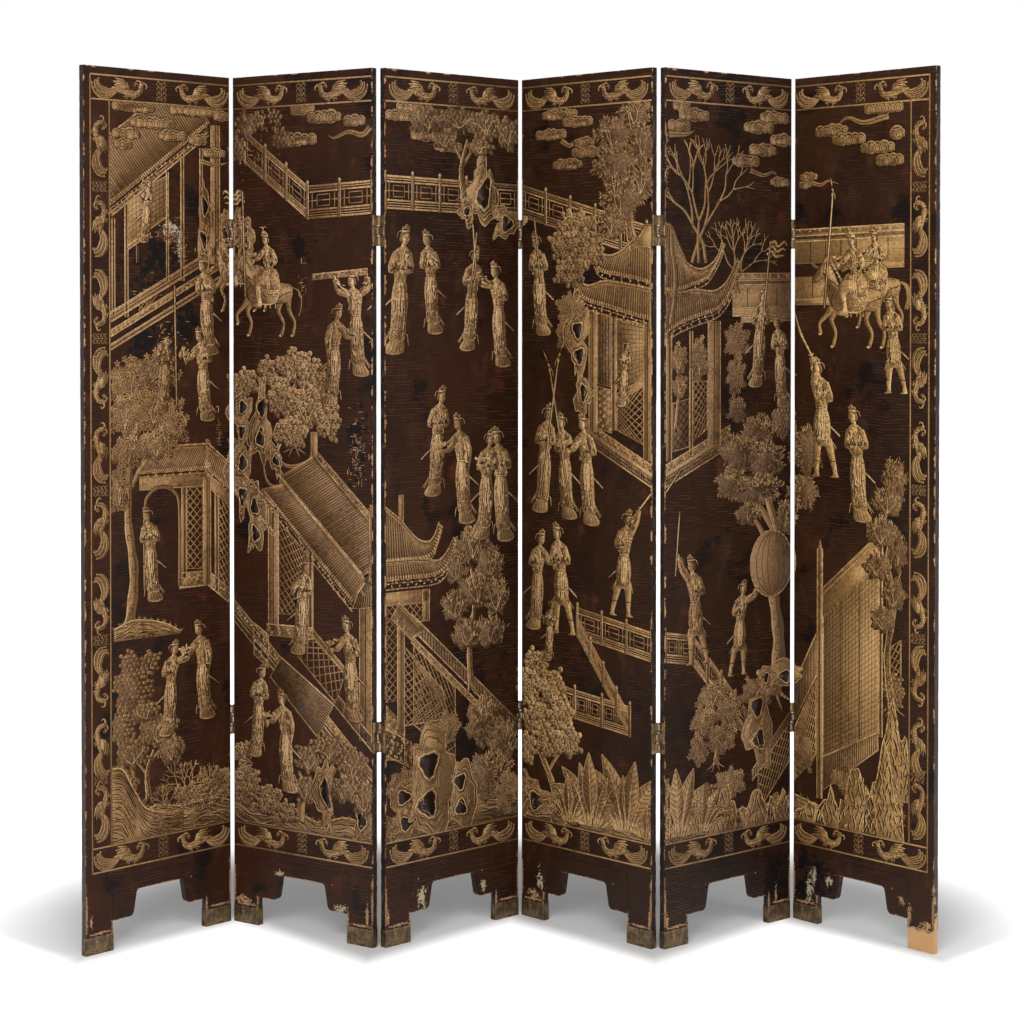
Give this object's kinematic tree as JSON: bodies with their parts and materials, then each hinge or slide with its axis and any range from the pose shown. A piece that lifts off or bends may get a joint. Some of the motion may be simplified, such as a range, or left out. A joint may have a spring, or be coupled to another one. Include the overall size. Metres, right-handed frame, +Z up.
{
  "type": "folding screen",
  "caption": "Free-standing folding screen of tall lacquered wooden panels on brass-shod legs, joined by double-acting hinges so that it stands in a zigzag and folds flat.",
  "frame": {"origin": "on the floor, in the middle of the area that the standing screen covers", "axes": "+Z up; +X to the right along the row of panels; the painted fronts face -Y, so +Y points behind the screen"},
  "size_m": [1.9294, 0.3704, 2],
  "materials": {
    "wood": "bare softwood, aged",
    "lacquer": "dark brown lacquer over a chalk ground, incised and gilded, worn at the edges",
    "foot_brass": "tarnished sheet brass",
    "hinge_brass": "tarnished brass, rubbed on the bands"
  },
  "bodies": {
    "panel_1": {"panel_1_frame": "wood", "panel_1_boards": "wood", "panel_1_apron": "wood", "panel_1_lacquer": "lacquer", "panel_1_foot_caps": "foot_brass", "fold_1_left_leaves": "hinge_brass", "fold_1_left_pins": "hinge_brass", "fold_1_middle_links": "hinge_brass"},
    "panel_2": {"panel_2_frame": "wood", "panel_2_boards": "wood", "panel_2_apron": "wood", "panel_2_lacquer": "lacquer", "panel_2_foot_caps": "foot_brass", "fold_1_right_leaves": "hinge_brass", "fold_1_right_pins": "hinge_brass", "fold_1_outer_links": "hinge_brass", "fold_2_left_leaves": "hinge_brass", "fold_2_left_pins": "hinge_brass", "fold_2_outer_links": "hinge_brass"},
    "panel_3": {"panel_3_frame": "wood", "panel_3_boards": "wood", "panel_3_apron": "wood", "panel_3_lacquer": "lacquer", "panel_3_foot_caps": "foot_brass", "fold_2_right_leaves": "hinge_brass", "fold_2_right_pins": "hinge_brass", "fold_2_middle_links": "hinge_brass", "fold_3_left_leaves": "hinge_brass", "fold_3_left_pins": "hinge_brass", "fold_3_middle_links": "hinge_brass"},
    "panel_4": {"panel_4_frame": "wood", "panel_4_boards": "wood", "panel_4_apron": "wood", "panel_4_lacquer": "lacquer", "panel_4_foot_caps": "foot_brass", "fold_3_right_leaves": "hinge_brass", "fold_3_right_pins": "hinge_brass", "fold_3_outer_links": "hinge_brass", "fold_4_left_leaves": "hinge_brass", "fold_4_left_pins": "hinge_brass", "fold_4_outer_links": "hinge_brass"},
    "panel_5": {"panel_5_frame": "wood", "panel_5_boards": "wood", "panel_5_apron": "wood", "panel_5_lacquer": "lacquer", "panel_5_foot_caps": "foot_brass", "fold_4_right_leaves": "hinge_brass", "fold_4_right_pins": "hinge_brass", "fold_4_middle_links": "hinge_brass", "fold_5_left_leaves": "hinge_brass", "fold_5_left_pins": "hinge_brass", "fold_5_middle_links": "hinge_brass"},
    "panel_6": {"panel_6_frame": "wood", "panel_6_boards": "wood", "panel_6_apron": "wood", "panel_6_lacquer": "lacquer", "panel_6_foot_caps": "foot_brass", "fold_5_right_leaves": "hinge_brass", "fold_5_right_pins": "hinge_brass", "fold_5_outer_links": "hinge_brass"}
  },
  "joints": [
    {"name": "fold_1", "type": "hinge", "parent": "panel_1", "child": "panel_2", "pos_m": [-0.66069, 0.11624, 1.056], "axis": [0, 0, 1], "range_deg": [-98, 80]},
    {"name": "fold_2", "type": "hinge", "parent": "panel_2", "child": "panel_3", "pos_m": [-0.29858, -0.10526, 1.056], "axis": [0, 0, -1], "range_deg": [-101, 77]},
    {"name": "fold_3", "type": "hinge", "parent": "panel_3", "child": "panel_4", "pos_m": [0.02305, 0.17006, 1.056], "axis": [0, 0, 1], "range_deg": [-90, 88]},
    {"name": "fold_4", "type": "hinge", "parent": "panel_4", "child": "panel_5", "pos_m": [0.33615, -0.11635, 1.056], "axis": [0, 0, -1], "range_deg": [-93, 85]},
    {"name": "fold_5", "type": "hinge", "parent": "panel_5", "child": "panel_6", "pos_m": [0.67176, 0.14176, 1.056], "axis": [0, 0, 1], "range_deg": [-90, 88]}
  ]
}
